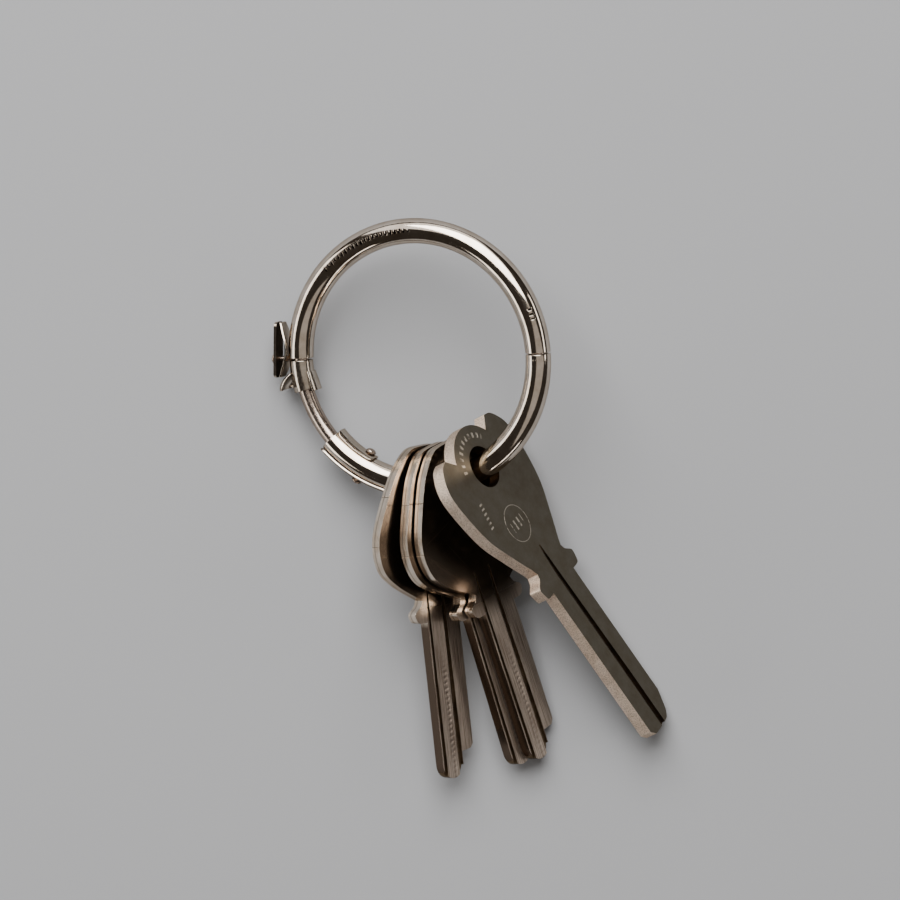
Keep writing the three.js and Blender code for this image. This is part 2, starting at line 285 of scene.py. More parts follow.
def flat_plate(loops, thickness):
    """A plate with the outline loops[0] and the holes loops[1:], centred on z = 0, in millimetres."""
    bm = bmesh.new()
    for loop in loops:
        verts = [bm.verts.new((x, y, -thickness / 2)) for x, y in loop]
        for a, b in zip(verts, verts[1:] + verts[:1]):
            bm.edges.new((a, b))
    bmesh.ops.triangle_fill(bm, use_beauty=True, use_dissolve=False, edges=bm.edges[:])
    raised = bmesh.ops.extrude_face_region(bm, geom=bm.faces[:])
    top = [item for item in raised["geom"] if isinstance(item, bmesh.types.BMVert)]
    bmesh.ops.translate(bm, vec=(0, 0, thickness), verts=top)
    bmesh.ops.recalc_face_normals(bm, faces=bm.faces)
    return bm


def make_piece(node, bm, body, materials, bevel=0.0):
    """The finished piece that stands for a CAD node. It rides on body, unless that is None."""
    mesh = bpy.data.meshes.new(node + "_finished")
    bm.to_mesh(mesh)
    bm.free()
    for material in materials:
        mesh.materials.append(material)
    mesh.shade_smooth()
    mesh.set_sharp_from_angle(angle=math.radians(32))
    piece = bpy.data.objects.new(node + "_finished", mesh)
    bpy.context.scene.collection.objects.link(piece)
    if bevel > 0:
        rounding = piece.modifiers.new("rounded edges", "BEVEL")
        rounding.width = bevel * MM
        rounding.segments = 3
        rounding.limit_method = "ANGLE"
        rounding.angle_limit = math.radians(32)
        rounding.harden_normals = True
    if body is not None:
        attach(piece, body)
    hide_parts(node)
    return piece


# ---- Outlines ----


def arc(cx, cy, rx, ry, start, end, steps):
    """Points of an elliptical arc, angles in degrees."""
    angles = [math.radians(lerp(start, end, i / steps)) for i in range(steps + 1)]
    return [(cx + rx * math.cos(a), cy + ry * math.sin(a)) for a in angles]


def spline(points, steps):
    """A smooth curve through the points (Catmull-Rom), with steps points to a span."""
    result = []
    last = len(points) - 1
    for i in range(last):
        p = [Vector(points[max(0, min(last, k))]) for k in (i - 1, i, i + 1, i + 2)]
        for s in range(steps):
            t = s / steps
            a = 2 * p[1]
            b = p[2] - p[0]
            c = 2 * p[0] - 5 * p[1] + 4 * p[2] - p[3]
            d = 3 * p[1] - p[0] - 3 * p[2] + p[3]
            result.append(tuple(0.5 * (a + b * t + c * t * t + d * t * t * t)))
    result.append(tuple(points[last]))
    return result


def shouldered_bow():
    """Right half of a bow with a round lobe over the hole, from the top to the neck."""
    lobe = arc(0, 0, 7.5, 7.5, 90, 32, 20)
    side = spline([
        (8.4, 5.9), (10.4, 5.2), (12.4, 2.4), (12.7, -1.5), (11.2, -8.8), (8.3, -14.2),
        (SHOULDERED_NECK_HALF + 0.5, -18.4),
    ], 10)
    return lobe + side


def bell_bow():
    """Right half of a bell-shaped bow, from the top to the neck."""
    return spline([
        (0, 6.5), (3.1, 6.2), (5.9, 3.9), (8.1, 1), (11.4, -5), (12.4, -8), (12.5, -10.8),
        (11.6, -13.6), (9.2, -16), (6.2, -18), (BELL_NECK_HALF + 0.3, -19),
    ], 9)


def stepped_tip(blade_half, tip_y):
    step_x = 1
    centre = (step_x - blade_half) / 2
    half = (step_x + blade_half) / 2
    step = [(blade_half, tip_y + 5.2), (blade_half - 0.6, tip_y + 4.4), (step_x, tip_y + 4.2)]
    return step + arc(centre, tip_y + 2.4, half, 2.4, 0, -180, 28)


def slanted_tip(blade_half, tip_y):
    return [
        (blade_half, tip_y + 4.6), (blade_half - 1.4, tip_y + 1.3), (blade_half - 2.4, tip_y + 0.3),
        (blade_half - 4, tip_y), (1.2 - blade_half, tip_y), (-blade_half, tip_y + 1),
    ]


def key_outline(blank):
    neck, hook, hook_y = blank["neck_half"], blank["hook_half"], blank["hook_y"]
    collar_y, blade_half = blank["collar_y"], blank["blade_half"]
    collar = spline([
        (neck, hook_y + 2.4), (neck + 0.5, hook_y + 1.4), (hook - 0.3, hook_y + 0.6), (hook, hook_y),
        (hook - 0.5, collar_y + 0.3), (hook - 1.2, collar_y),
    ], 4)
    bow = blank["bow"]()
    right = bow[1:] + collar + [(blade_half, collar_y)]
    left = [(-x, y) for x, y in reversed(right)]
    return [bow[0]] + right + blank["tip"](blade_half, blank["tip_y"]) + left


# ---- Keys ----


def groove_cutter(blank, x, width, face):
    """The space that a cutter clears along one face. It runs out towards the bow, narrowing as it goes."""
    surface = blank["thickness"] / 2
    clear = surface + 1
    floor = surface - GROOVE_DEPTH
    start = blank["collar_y"] + 7.5
    end = blank["tip_y"] - 2
    narrow = 0.3 * width / 2
    wide = width / 2
    side = [
        (start, surface, narrow), (start - GROOVE_RUN_OUT, floor, wide), (end, floor, wide),
        (end, clear, wide), (start - GROOVE_RUN_OUT, clear, wide), (start, clear, narrow),
    ]
    bm = bmesh.new()
    ends = [[bm.verts.new((x + hand * half, y, face * z)) for y, z, half in side] for hand in (-1, 1)]
    for i in range(len(side)):
        k = (i + 1) % len(side)
        bm.faces.new([ends[0][i], ends[0][k], ends[1][k], ends[1][i]])
    bm.faces.new(ends[0])
    bm.faces.new(list(reversed(ends[1])))
    bmesh.ops.recalc_face_normals(bm, faces=bm.faces)
    return bm


def subtract(solid, tool):
    """The first mesh with the second cut out of it. Both are bmeshes, and both are used up."""
    objects = []
    for bm in (solid, tool):
        mesh = bpy.data.meshes.new("cutting")
        bm.to_mesh(mesh)
        bm.free()
        thing = bpy.data.objects.new("cutting", mesh)
        bpy.context.scene.collection.objects.link(thing)
        objects.append(thing)
    body, cutter = objects
    cut = body.modifiers.new("cut", "BOOLEAN")
    cut.object = cutter
    cut.operation = "DIFFERENCE"
    cut.solver = "EXACT"
    bpy.context.view_layer.update()
    evaluated = body.evaluated_get(bpy.context.evaluated_depsgraph_get())
    result = bmesh.new()
    result.from_mesh(evaluated.to_mesh())
    evaluated.to_mesh_clear()
    for thing in objects:
        mesh = thing.data
        bpy.data.objects.remove(thing)
        bpy.data.meshes.remove(mesh)
    bmesh.ops.dissolve_limit(result, angle_limit=math.radians(0.5), verts=result.verts, edges=result.edges)
    return result


FACE, EDGE, SHADED_RECESS = 0, 1, 2


def choose_finish(face, thickness):
    """Flat faces, outer walls, and the milled grooves with the wall of the hole, which get a dark finish that
    is partly painted shade.
    """
    heights = [vert.co.z for vert in face.verts]
    middle = face.calc_center_median()
    flat = abs(face.normal.z) > 0.8
    if flat and thickness / 2 - abs(middle.z) < 0.02:
        return FACE
    if not flat and max(heights) - min(heights) > thickness * 0.8:
        # The hole's wall takes the dark groove finish as painted shade.
        return SHADED_RECESS if middle.xy.length < HOLE_RADIUS + 0.1 else EDGE
    return SHADED_RECESS


def paint_key(bm, thickness):
    """Chooses each face's finish, and gives each corner its place on the key in millimetres.
    On a wall the first place runs through the thickness instead of across the key."""
    layer = bm.loops.layers.uv.new("along")
    for face in bm.faces:
        face.normal_update()
        face.material_index = choose_finish(face, thickness)
        for loop in face.loops:
            x, y, z = loop.vert.co
            loop[layer].uv = (z if face.material_index == EDGE else x, y)
    return bm


def key_blank(blank):
    hole = arc(0, 0, HOLE_RADIUS, HOLE_RADIUS, 0, 360, 64)[:-1]
    plate = flat_plate([key_outline(blank), hole], blank["thickness"])
    cutters = [groove_cutter(blank, *groove) for groove in blank["grooves"]]
    return paint_key(subtract(plate, merged(*cutters)), blank["thickness"])


def key_matrix(name, turn, pitch, roll, swing):
    """The key's plane is turned, tipped nose down and rolled, and its blade has swung in that plane."""
    hole = Matrix.Translation(Vector(joints[name + "_swing"]["pos_m"]))
    rotation = (
        Matrix.Rotation(math.radians(turn), 4, "Z")
        @ Matrix.Rotation(math.radians(pitch), 4, "X")
        @ Matrix.Rotation(math.radians(roll), 4, "Y")
        @ Matrix.Rotation(math.radians(swing), 4, "Z")
    )
    return hole @ rotation @ Matrix.Scale(MM, 4)


# Grooves are (place across the blade, width, face): face 1 is the front and -1 the back.
BELL = {
    "bow": bell_bow, "tip": stepped_tip, "thickness": 1.8, "blade_half": 3.6, "neck_half": BELL_NECK_HALF,
    "hook_half": 6.2, "hook_y": -21.6, "collar_y": -23, "tip_y": -49.95,
    "grooves": [(-3, 0.7, 1), (0.45, 1, 1), (-1.4, 1.2, -1)],
}
SHOULDERED = {
    "bow": shouldered_bow, "tip": slanted_tip, "thickness": 2.2, "blade_half": 4.45,
    "neck_half": SHOULDERED_NECK_HALF, "hook_half": 7.2, "hook_y": -21.8, "collar_y": -23.8, "tip_y": -54,
    "grooves": [(0.1, 1.4, 1), (2.6, 1.2, -1)],
}


# ---- Materials ----


class Finish:
    """A metal material, and short ways to add the nodes that give it its wear."""

    def __init__(self, name, color, roughness):
        self.material = bpy.data.materials.new(name)
        self.material.use_nodes = True
        self.tree = self.material.node_tree
        self.surface = self.tree.nodes["Principled BSDF"]
        self.surface.inputs["Metallic"].default_value = 1.0
        self.surface.inputs["Base Color"].default_value = (*color, 1)
        # The metal is darker where it turns away from the eye.
        self.surface.inputs["Specular Tint"].default_value = (0.55, 0.5, 0.45, 1)
        self.surface.inputs["Roughness"].default_value = roughness
        self.place = self.add("ShaderNodeUVMap", uv_map="along").outputs["UV"]
        self.height = None

    def add(self, kind, inputs=(), **settings):
        node = self.tree.nodes.new(kind)
        for key, value in settings.items():
            setattr(node, key, value)
        for key, value in dict(inputs).items():
            if isinstance(value, bpy.types.NodeSocket):
                self.tree.links.new(value, node.inputs[key])
            else:
                node.inputs[key].default_value = value
        return node

    def math(self, operation, a, b=0.0):
        return self.add("ShaderNodeMath", {0: a, 1: b}, operation=operation).outputs[0]

    def noise(self, scale, stretch=(1, 1, 1), detail=4.0, source=None):
        """Noise in a millimetre scale. stretch above 1 makes it finer that way."""
        mapping = self.add("ShaderNodeMapping", {"Vector": source or self.place, "Scale": stretch})
        noise = self.add("ShaderNodeTexNoise", {
            "Vector": mapping.outputs[0], "Scale": scale, "Detail": detail, "Roughness": 0.6,
        })
        return noise.outputs["Fac"]

    def in_space(self):
        """Place in the object in millimetres, for walls that the flat place can't tell apart."""
        coordinates = self.add("ShaderNodeTexCoord").outputs["Object"]
        return self.add("ShaderNodeVectorMath", {0: coordinates, 3: 1000.0}, operation="SCALE").outputs[0]

    def ramp(self, value, low, high, low_out=0.0, high_out=1.0):
        node = self.add("ShaderNodeMapRange", {
            "Value": value, "From Min": low, "From Max": high, "To Min": low_out, "To Max": high_out,
        })
        return node.outputs[0]

    def inside(self, value, centre, half, soft=0.05):
        """1 where value is within half of centre, 0 elsewhere, with a soft border."""
        distance = self.math("ABSOLUTE", self.math("SUBTRACT", value, centre))
        return self.ramp(distance, half + soft, half - soft)

    def split(self):
        parts = self.add("ShaderNodeSeparateXYZ", {0: self.place})
        return parts.outputs[0], parts.outputs[1]

    def tint(self, mask, color):
        """Blends the colour so far towards another where mask is 1."""
        socket = self.surface.inputs["Base Color"]
        before = socket.links[0].from_socket if socket.links else tuple(socket.default_value)
        mix = self.add("ShaderNodeMix", {0: mask, 6: before, 7: (*color, 1)}, data_type="RGBA")
        self.tree.links.new(mix.outputs[2], socket)

    def vary_roughness(self, mask, low, high):
        self.tree.links.new(self.ramp(mask, 0, 1, low, high), self.surface.inputs["Roughness"])

    def raise_by(self, value, distance):
        """Adds value times distance, in millimetres, to the surface's height."""
        amount = self.math("MULTIPLY", value, distance)
        self.height = amount if self.height is None else self.math("ADD", self.height, amount)

    def done(self):
        if self.height is not None:
            bump = self.add("ShaderNodeBump", {"Height": self.height, "Distance": MM, "Strength": 1.0})
            self.tree.links.new(bump.outputs[0], self.surface.inputs["Normal"])
        return self.material


def add_tarnish(finish, scratch_direction, cloud_color, source=None):
    """Cloudy tarnish and hairline scratches."""
    cloud = finish.noise(0.35, detail=5.0, source=source)
    finish.tint(finish.ramp(cloud, 0.35, 0.7), cloud_color)
    hair = finish.noise(1.0, stretch=scratch_direction, detail=6.0, source=source)
    finish.raise_by(hair, 0.003)


def add_wear(finish, scratch_direction, cloud_color, rough_low, rough_high, source=None):
    """Tarnish, scratches and uneven polish."""
    add_tarnish(finish, scratch_direction, cloud_color, source)
    polish = finish.noise(1.7, detail=6.0, source=source)
    finish.vary_roughness(finish.ramp(polish, 0.3, 0.7), rough_low, rough_high)


def ring_nickel():
    finish = Finish("bright_nickel", (0.66, 0.585, 0.505), 0.1)
    add_wear(finish, (0.3, 9, 1), (0.5, 0.42, 0.34), 0.05, 0.13)
    marks = finish.math("MAXIMUM", stamped_row(finish, 114, 23, 84), stamped_row(finish, 21, 3, 60))
    finish.raise_by(marks, -0.015)
    # The pressed dashes are coloured near black: painted shade in their recesses.
    finish.tint(marks, (0.03, 0.022, 0.016))
    return finish.done()


def stamped_row(finish, middle, half, section):
    """Short plain dashes of uneven length, in a row along the tube. Angles are in degrees."""
    along, across = finish.split()
    in_row = finish.inside(along, math.radians(middle) * RING_RADIUS, math.radians(half) * RING_RADIUS)
    uneven = finish.noise(2.2, stretch=(1, 0.2, 1), detail=1.0)
    half_height = finish.ramp(uneven, 0.3, 0.7, 0.25, 0.55)
    distance = finish.math("ABSOLUTE", finish.math("SUBTRACT", across, math.radians(section) * TUBE_RADIUS))
    in_height = finish.ramp(finish.math("SUBTRACT", half_height, distance), 0, 0.08)
    ticks = finish.ramp(finish.math("PINGPONG", along, 0.4), 0.16, 0.24)
    return finish.math("MULTIPLY", finish.math("MULTIPLY", in_row, in_height), ticks)


def sheet_nickel():
    finish = Finish("sheet_nickel", (0.56, 0.5, 0.43), 0.15)
    source = finish.in_space()
    add_wear(finish, (4, 4, 1), (0.36, 0.3, 0.24), 0.09, 0.24, source)
    return finish.done()


def painted_shade_inside():
    """Painted shade: near-black, unpolished sheet colour for the faces in the hollow behind the thumb plate,
    with faint clouds and scratches on it.
    """
    finish = Finish("painted_shade_inside", (0.07, 0.06, 0.05), 0.5)
    add_wear(finish, (4, 4, 1), (0.04, 0.032, 0.025), 0.4, 0.6, finish.in_space())
    return finish.done()


def drawn_steel():
    finish = Finish("drawn_steel", (0.44, 0.365, 0.31), 0.2)
    add_wear(finish, (0.15, 14, 1), (0.34, 0.27, 0.22), 0.14, 0.3)
    return finish.done()


def spring_wire():
    finish = Finish("spring_wire", (0.42, 0.40, 0.38), 0.3)
    source = finish.in_space()
    add_wear(finish, (6, 6, 6), (0.30, 0.25, 0.2), 0.22, 0.4, source)
    return finish.done()


def bell_face():
    """Smooth dark bow with a few scratches, and milled blade with a row of dimples along it."""
    finish = Finish("bell_key_face", (0.3, 0.24, 0.19), 0.2)
    add_tarnish(finish, (6, 0.4, 1), (0.2, 0.15, 0.11))
    across, along = finish.split()
    on_blade = finish.ramp(along, -19, -24)
    streaks = finish.noise(1.0, stretch=(9, 0.15, 1), detail=3.0)
    finish.tint(on_blade, (0.6, 0.51, 0.43))
    finish.tint(finish.math("MULTIPLY", on_blade, finish.ramp(streaks, 0.42, 0.62)), (0.25, 0.19, 0.15))
    finish.vary_roughness(on_blade, 0.2, 0.42)
    in_row = finish.math("MULTIPLY", finish.inside(across, -1.0, 0.3, 0.25), finish.ramp(along, -27, -33))
    dimples = finish.math("MULTIPLY", finish.ramp(finish.math("PINGPONG", along, 0.45), 0.1, 0.4), in_row)
    finish.raise_by(dimples, -0.05)
    finish.tint(finish.math("MULTIPLY", dimples, 0.35), (0.16, 0.12, 0.1))
    for x, y, lean, half in ((-7.5, -6.5, 15, 3), (-5.5, -11.5, 118, 2.4), (-4, -3.5, 64, 1.8)):
        finish.tint(finish.math("MULTIPLY", long_scratch(finish, x, y, lean, half), 0.6), (0.8, 0.68, 0.56))
    return finish.done()


def long_scratch(finish, x, y, lean, half_length):
    """A straight hairline scratch with its middle at x, y."""
    across, along = finish.split()
    cos, sin = math.cos(math.radians(lean)), math.sin(math.radians(lean))
    dx = finish.math("SUBTRACT", across, x)
    dy = finish.math("SUBTRACT", along, y)
    length = finish.math("ADD", finish.math("MULTIPLY", dx, cos), finish.math("MULTIPLY", dy, sin))
    side = finish.math("SUBTRACT", finish.math("MULTIPLY", dy, cos), finish.math("MULTIPLY", dx, sin))
    line = finish.inside(side, 0, 0.04, 0.03)
    return finish.math("MULTIPLY", line, finish.inside(length, 0, half_length, 1.2))


def bell_edge():
    """Smooth walls with a dark line along the middle and two joints across, and painted shade down the blade.
    """
    finish = Finish("bell_key_edge", (0.74, 0.65, 0.55), 0.22)
    through, along = finish.split()
    cloud = finish.noise(0.5, detail=4.0, source=finish.in_space())
    finish.tint(finish.ramp(cloud, 0.42, 0.75), (0.5, 0.4, 0.3))
    finish.tint(finish.math("MULTIPLY", finish.inside(through, -0.25, 0.1, 0.12), 0.75), (0.12, 0.085, 0.06))
    # Painted shade: the walls along the blade are coloured dark.
    finish.tint(finish.ramp(along, -22.5, -24), (0.11, 0.08, 0.06))
    for place in (-0.8, -8.8):
        line = finish.inside(along, place, 0.05, 0.03)
        finish.tint(line, (0.1, 0.07, 0.05))
        finish.raise_by(line, -0.04)
    return finish.done()


def satin_face():
    finish = Finish("satin_key_face", (0.135, 0.122, 0.098), 0.42)
    add_wear(finish, (5, 5, 1), (0.11, 0.095, 0.072), 0.36, 0.5)
    grain = finish.noise(9.0, detail=3.0)
    finish.raise_by(grain, 0.004)
    marks = stamped_marks(finish)
    finish.raise_by(marks, -0.06)
    finish.tint(finish.math("MULTIPLY", marks, 0.75), (0.62, 0.56, 0.47))
    return finish.done()


def distance_from(finish, x, y):
    across, along = finish.split()
    dx = finish.math("SUBTRACT", across, x)
    dy = finish.math("SUBTRACT", along, y)
    squares = finish.math("ADD", finish.math("MULTIPLY", dx, dx), finish.math("MULTIPLY", dy, dy))
    return finish.math("SQRT", squares)


def dashes_round_hole(finish):
    across, along = finish.split()
    around = finish.math("ARCTAN2", along, across)
    dashes = finish.ramp(finish.math("PINGPONG", around, math.radians(6)), math.radians(3.2), math.radians(4))
    in_row = finish.inside(distance_from(finish, 0, 0), 5.7, 0.45)
    in_arc = finish.inside(around, math.radians(105), math.radians(62))
    return finish.math("MULTIPLY", finish.math("MULTIPLY", in_row, dashes), in_arc)


def dashes_by_side(finish):
    across, along = finish.split()
    slanted = finish.math("SUBTRACT", across, finish.math("MULTIPLY", along, 0.25))
    in_row = finish.math("MULTIPLY", finish.inside(slanted, -6.2, 0.45), finish.inside(along, -6, 2.6))
    return finish.math("MULTIPLY", in_row, finish.ramp(finish.math("PINGPONG", along, 0.42), 0.22, 0.3))


def ringed_bars(finish):
    x, y = -1.5, -10.9
    across, along = finish.split()
    circle = finish.inside(distance_from(finish, x, y), 3.3, 0.06, 0.05)
    bars = finish.ramp(finish.math("PINGPONG", finish.math("SUBTRACT", across, x), 0.65), 0.42, 0.5)
    in_middle = finish.math("MULTIPLY", finish.inside(across, x, 1.9), finish.inside(along, y, 0.9))
    return finish.math("MAXIMUM", circle, finish.math("MULTIPLY", bars, in_middle))


def stamped_marks(finish):
    """Plain stamped dashes round the hole, a row beside it, and a plain circle with four bars in it."""
    rows = finish.math("MAXIMUM", dashes_round_hole(finish), dashes_by_side(finish))
    total = finish.math("MAXIMUM", rows, ringed_bars(finish))
    return finish.math("MULTIPLY", total, finish.ramp(finish.noise(1.4, detail=2.0), 0.34, 0.48))


def satin_edge():
    finish = Finish("satin_key_edge", (0.9, 0.76, 0.64), 0.36)
    source = finish.in_space()
    add_wear(finish, (1, 1, 1), (0.72, 0.58, 0.46), 0.32, 0.46, source)
    grain = finish.noise(5.5, detail=3.0, source=source)
    finish.tint(finish.ramp(grain, 0.48, 0.62), (0.46, 0.35, 0.26))
    finish.raise_by(grain, 0.1)
    return finish.done()


# Dark metal for the milled grooves and the hole's wall: the milled metal's own tone, darkened with painted
# shade for these recesses.
def milled_groove_and_shade(name, color):
    finish = Finish(name, color, 0.38)
    add_wear(finish, (12, 0.3, 1), tuple(0.5 * part for part in color), 0.3, 0.5)
    return finish.done()


# ---- Build: the ring's fixed pieces ----

NICKEL = ring_nickel()
SHEET_NICKEL = sheet_nickel()
# Painted shade for the hollow between the thumb saddle and the thumb plate.
PAINTED_SHADE_INSIDE = painted_shade_inside()
STEEL = drawn_steel()
WIRE = spring_wire()


def upper_tube():
    steps = round(UPPER_END - SEAM_ANGLE - GAP)
    slot_start = RIVET_ANGLE - BOLT_TRAVEL - SLOT_END_ROOM
    slot_cells = 3  # the slot's half-width in cells of the tube's section

    def keep(i, j):
        angle = lerp(SEAM_ANGLE + GAP, UPPER_END, (i + 0.5) / steps)
        beside = min(j + 0.5, TUBE_SIDES - j - 0.5)
        return angle < slot_start or beside > slot_cells

    bm = ring_shell(SEAM_ANGLE + GAP, UPPER_END, TUBE_RADIUS, BORE_RADIUS, keep)
    make_piece("upper_tube", bm, "ring", [NICKEL], bevel=0.12)


def lower_tube():
    bm = ring_shell(RECEIVER_ANGLE, 360 + SEAM_ANGLE - GAP, TUBE_RADIUS, BORE_RADIUS)
    make_piece("lower_tube", bm, "ring", [NICKEL], bevel=0.12)


def inner_plugs():
    plug = ring_rod(SEAM_ANGLE - 10, SEAM_ANGLE + 10, PLUG_RADIUS, nose=0.3)
    make_piece("joint_plug", plug, "ring", [STEEL])
    stop = ring_rod(SPRING_STOP - STOP_LENGTH, SPRING_STOP, PLUG_RADIUS, nose=0.3)
    make_piece("spring_stop", stop, "ring", [STEEL])


def ferrule_lip(section_angle, reach, end):
    def point_at(u, v, w):
        base = lerp(FERRULE_RADIUS - 0.15, reach - SHEET, 1 - (1 - u) ** 2)
        angle = section_angle + lerp(-LIP_HALF_ANGLE, LIP_HALF_ANGLE, v)
        return ring_point(lerp(LIP_START, end, u), angle, base + w * SHEET)

    return shell(point_at, 20, 24)


def mouth_ferrule():
    sleeve = ring_shell(UPPER_END + 1, MOUTH_ANGLE, FERRULE_RADIUS, FERRULE_BORE)
    outer_lip = ferrule_lip(0, OUTER_LIP_RADIUS, OUTER_LIP_END)
    inner_lip = ferrule_lip(180, INNER_LIP_RADIUS, INNER_LIP_END)
    bm = merged(sleeve, ring_layer(outer_lip), ring_layer(inner_lip))
    make_piece("mouth_ferrule", bm, "ring", [SHEET_NICKEL], bevel=0.08)


def receiver_plate(node, section_angle, end):
    """A sheet wrapped part of the way round the tube, with round corners."""
    corner = 0.12

    def point_at(u, v, w):
        radius = TUBE_RADIUS + RECEIVER_PLATE_LIFT * (1 + (1 - u) ** 2)
        from_end = min(u, 1 - u) / corner
        rounding = math.sqrt(1 - (1 - from_end) ** 2) if from_end < 1 else 1
        half = RECEIVER_PLATE_HALF * (0.65 + 0.35 * rounding)
        spread = math.degrees(math.asin(half / radius))
        angle = section_angle + lerp(-spread, spread, v)
        return ring_point(lerp(RECEIVER_ANGLE, end, u), angle, radius + w * SHEET)

    bm = ring_layer(shell(point_at, 48, 16))
    make_piece(node, bm, "ring", [SHEET_NICKEL], bevel=0.09)


def radial_matrix(ring_angle):
    """z points out from the ring's centre."""
    return RING @ Matrix.Rotation(math.radians(ring_angle), 4, "Z") @ Matrix.Rotation(math.pi / 2, 4, "Y")


def dome(base, outward):
    """Profile of a rivet's domed head on a seat at height base, from its rim to the axis."""
    rim = 0.22
    crown = arc(0, 0, RIVET_HEAD_RADIUS - 0.12, RIVET_HEAD_HEIGHT - rim, 0, 90, 8)
    points = [(RIVET_HEAD_RADIUS - 0.1, base), (RIVET_HEAD_RADIUS, base + outward * 0.1)]
    points += [(RIVET_HEAD_RADIUS, base + outward * 0.16)]
    points += [(radius, base + outward * (rim + height)) for radius, height in crown[:-1]]
    return points + [(0, base + outward * RIVET_HEAD_HEIGHT)]


def receiver_rivet():
    reach = TUBE_RADIUS + 2 * RECEIVER_PLATE_LIFT + SHEET
    inner = RING_RADIUS - reach
    outer = RING_RADIUS + reach
    profile = list(reversed(dome(inner, -1)))
    profile += [(RIVET_RADIUS, inner), (RIVET_RADIUS, outer)]
    profile += dome(outer, 1)
    bm = ring_layer(turned(profile, radial_matrix(RECEIVER_RIVET_ANGLE)))
    make_piece("receiver_rivet", bm, "ring", [STEEL])


def bolt_spring():
    """A coil of round wire between the stop and the bolt's tail. It stays fixed in place and doesn't follow
    the bolt.
    """
    coils = 9
    coil_radius = 1.1
    wire_radius = 0.22
    steps = 300
    sides = 10
    end_gap = 1.6

    def ring_angle(t):
        return lerp(SPRING_STOP + end_gap, BOLT_TAIL - end_gap, t)

    def centre(t):
        return ring_point(ring_angle(t), 360 * coils * t, coil_radius)

    bm = bmesh.new()
    rows = []
    for i in range(steps + 1):
        t = i / steps
        middle = centre(t)
        ahead = (centre(t + 1e-4) - centre(t - 1e-4)).normalized()
        axis = ring_point(ring_angle(t), 0, 0)
        outward = (middle - axis).normalized()
        across = ahead.cross(outward).normalized()
        outward = across.cross(ahead)
        row = []
        for j in range(sides):
            a = 2 * math.pi * j / sides
            offset = outward * math.cos(a) + across * math.sin(a)
            row.append(bm.verts.new(middle + offset * wire_radius * MM))
        rows.append(row)
    for near, far in zip(rows, rows[1:]):
        for j in range(sides):
            k = (j + 1) % sides
            bm.faces.new([near[j], far[j], far[k], near[k]])
    bm.faces.new(rows[0])
    bm.faces.new(list(reversed(rows[-1])))
    bmesh.ops.recalc_face_normals(bm, faces=bm.faces)
    spring = make_piece("bolt_spring", ring_layer(bm), None, [WIRE])
    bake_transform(spring)


upper_tube()
lower_tube()
inner_plugs()
mouth_ferrule()
receiver_plate("receiver_plate_outer", 0, OUTER_PLATE_END)
receiver_plate("receiver_plate_inner", 180, INNER_PLATE_END)
receiver_rivet()
bolt_spring()

# ---- Build: the pieces that slide with the bolt ----


def bolt():
    make_piece("bolt", ring_rod(BOLT_TAIL, BOLT_TIP, BOLT_RADIUS, nose=0.7), "bolt", [STEEL])


def paint_shade_side(bm, outward):
    """Gives the second finish, the painted shade of the hollow, to the faces that look away from the ring's
    middle, or towards it where outward is -1."""
    back = RING.inverted()
    for face in bm.faces:
        face.normal_update()
        middle = back @ face.calc_center_median()
        radial = Vector((middle.x, middle.y, 0)).normalized()
        if outward * radial.dot(back.to_3x3() @ face.normal) > 0.5:
            face.material_index = 1
    return bm


def thumb_saddle():
    half_angle = math.degrees(THUMB_LENGTH / 2 / PLATE_INNER)

    def point_at(u, v, w):
        rise = (2 * u - 1) ** 2
        bend = lerp(SADDLE_BEND, SADDLE_END_BEND, rise)
        half = lerp(THUMB_WIDTH / 2 + 0.2, THUMB_WIDTH / 2 - 0.5, rise)
        spread = math.asin(half / bend)
        angle = lerp(-spread, spread, v)
        crest = THUMB_SEAT + GAP + THUMB_LIFT * rise
        radial = crest - bend + (bend + w * SHEET) * math.cos(angle)
        around = lerp(THUMB_ANGLE - half_angle, THUMB_ANGLE + half_angle, u)
        return ring_place(around, radial, (bend + w * SHEET) * math.sin(angle))

    # The saddle's faces towards the hollow get the second finish, painted shade.
    bm = paint_shade_side(ring_layer(shell(point_at, 32, 20)), 1)
    make_piece("thumb_saddle", bm, "bolt", [SHEET_NICKEL, PAINTED_SHADE_INSIDE], bevel=0.08)


def thumb_plate():
    corner = 0.8
    x = THUMB_LENGTH / 2 - corner
    y = THUMB_WIDTH / 2 - corner
    outline = []
    for cx, cy, start in ((x, y, 0), (-x, y, 90), (-x, -y, 180), (x, -y, 270)):
        outline += arc(cx, cy, corner, corner, start, start + 90, 10)
    bm = flat_plate([outline], PLATE_OUTER - PLATE_INNER)
    middle = (PLATE_INNER + PLATE_OUTER) / 2
    stand = Matrix.Translation((0, 0, middle * MM)) @ Matrix.Rotation(math.pi / 2, 4, "Z")
    bm.transform(radial_matrix(THUMB_ANGLE) @ stand @ Matrix.Scale(MM, 4))
    # The plate's faces towards the hollow get the second finish, painted shade.
    bm = paint_shade_side(ring_layer(bm), -1)
    make_piece("thumb_plate", bm, "bolt", [SHEET_NICKEL, PAINTED_SHADE_INSIDE], bevel=0.1)


def thumb_rivet():
    seat = PLATE_OUTER + GAP
    profile = [(0, RING_RADIUS + 0.5), (RIVET_RADIUS, RING_RADIUS + 0.5), (RIVET_RADIUS, seat)]
    bm = ring_layer(turned(profile + dome(seat, 1), radial_matrix(RIVET_ANGLE)))
    make_piece("thumb_rivet", bm, "bolt", [STEEL])


bolt()
thumb_saddle()
thumb_plate()
thumb_rivet()

# ---- Build: the keys ----

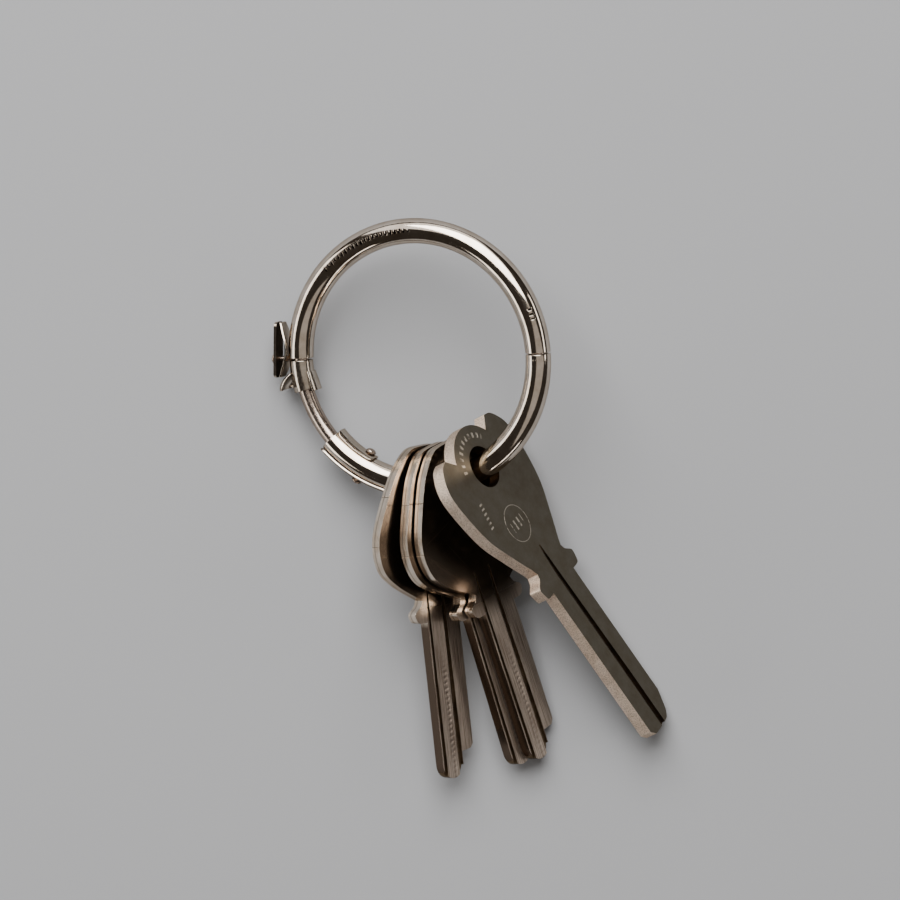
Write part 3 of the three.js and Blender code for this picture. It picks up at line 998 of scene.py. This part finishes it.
BELL_MATERIALS = [bell_face(), bell_edge(), milled_groove_and_shade("bell_key_groove_and_shade", (0.2, 0.15, 0.1))]
SATIN_MATERIALS = [satin_face(), satin_edge(), milled_groove_and_shade("satin_key_groove_and_shade", (0.09, 0.06, 0.035))]


def make_key(name, blank, slot, materials, bevel, turn, pitch, roll, swing=0):
    bm = key_blank(blank)
    bm.transform(key_matrix(name, turn, pitch, roll, swing))
    make_piece(name, bm, name, materials, bevel=bevel)


BELL_KEY = {"blank": BELL, "slot": "key_nickel", "materials": BELL_MATERIALS, "bevel": 0.26}
SHOULDERED_KEY = {"blank": SHOULDERED, "slot": "key_satin", "materials": SATIN_MATERIALS, "bevel": 0.16}
make_key("key_left", **BELL_KEY, turn=6.2, pitch=6.6, roll=42.1)
make_key("key_middle_rear", **BELL_KEY, turn=18, pitch=11.7, roll=41.7, swing=-1.6)
make_key("key_middle_front", **BELL_KEY, turn=18, pitch=11.7, roll=41.7)
make_key("key_right", **SHOULDERED_KEY, turn=34.9, pitch=11.6, roll=54.4)

# ---- Floor, light and camera ----


def studio_floor():
    bpy.ops.mesh.primitive_plane_add(size=4, location=(0, 0, -0.0002))
    floor = bpy.context.object
    floor.name = "floor"
    material = bpy.data.materials.new("floor_paper")
    material.use_nodes = True
    surface = material.node_tree.nodes["Principled BSDF"]
    surface.inputs["Base Color"].default_value = (0.26, 0.265, 0.275, 1)
    surface.inputs["Roughness"].default_value = 0.9
    surface.inputs["Specular IOR Level"].default_value = 0.2
    floor.data.materials.append(material)


def softbox(name, place, size, watts, color):
    """A rectangular light that faces the object."""
    data = bpy.data.lights.new(name, "AREA")
    data.shape = "RECTANGLE"
    data.size, data.size_y = size
    data.energy = watts
    data.color = color
    lamp = bpy.data.objects.new(name, data)
    bpy.context.scene.collection.objects.link(lamp)
    lamp.location = place
    lamp.rotation_mode = "QUATERNION"
    lamp.rotation_quaternion = (-Vector(place)).to_track_quat("-Z", "Y")


def studio_light():
    world = bpy.data.worlds.new("studio")
    bpy.context.scene.world = world
    world.use_nodes = True
    background = world.node_tree.nodes["Background"]
    background.inputs["Color"].default_value = (0.5, 0.43, 0.37, 1)
    background.inputs["Strength"].default_value = 0.09
    softbox("window", (-0.3, 0.85, 0.65), (1.5, 1.1), 9, (1, 0.985, 0.97))
    softbox("window_middle", (-0.15, 0.6, 0.8), (0.9, 0.95), 25, (1, 0.985, 0.97))
    softbox("side", (-1.1, -0.1, 0.3), (1.2, 0.4), 5, (1, 0.97, 0.93))
    softbox("far_side", (1.0, 0.25, 0.5), (0.8, 0.22), 1.8, (1, 0.96, 0.92))
    softbox("ceiling", (0.4, -0.45, 1.5), (1.8, 1.4), 3.8, (1, 0.93, 0.86))
    softbox("strip", (0.15, -1.1, 0.35), (0.9, 0.08), 1.2, (1, 0.95, 0.9))


def camera_above():
    data = bpy.data.cameras.new("camera")
    data.sensor_width = 36
    data.lens = data.sensor_width * CAMERA_HEIGHT / FIELD_WIDTH
    data.clip_start, data.clip_end = 0.1, 5
    camera = bpy.data.objects.new("camera", data)
    bpy.context.scene.collection.objects.link(camera)
    camera.location = RING.translation + Vector((*VIEW_OFFSET, CAMERA_HEIGHT)) * MM
    bpy.context.scene.camera = camera


studio_floor()
studio_light()
camera_above()
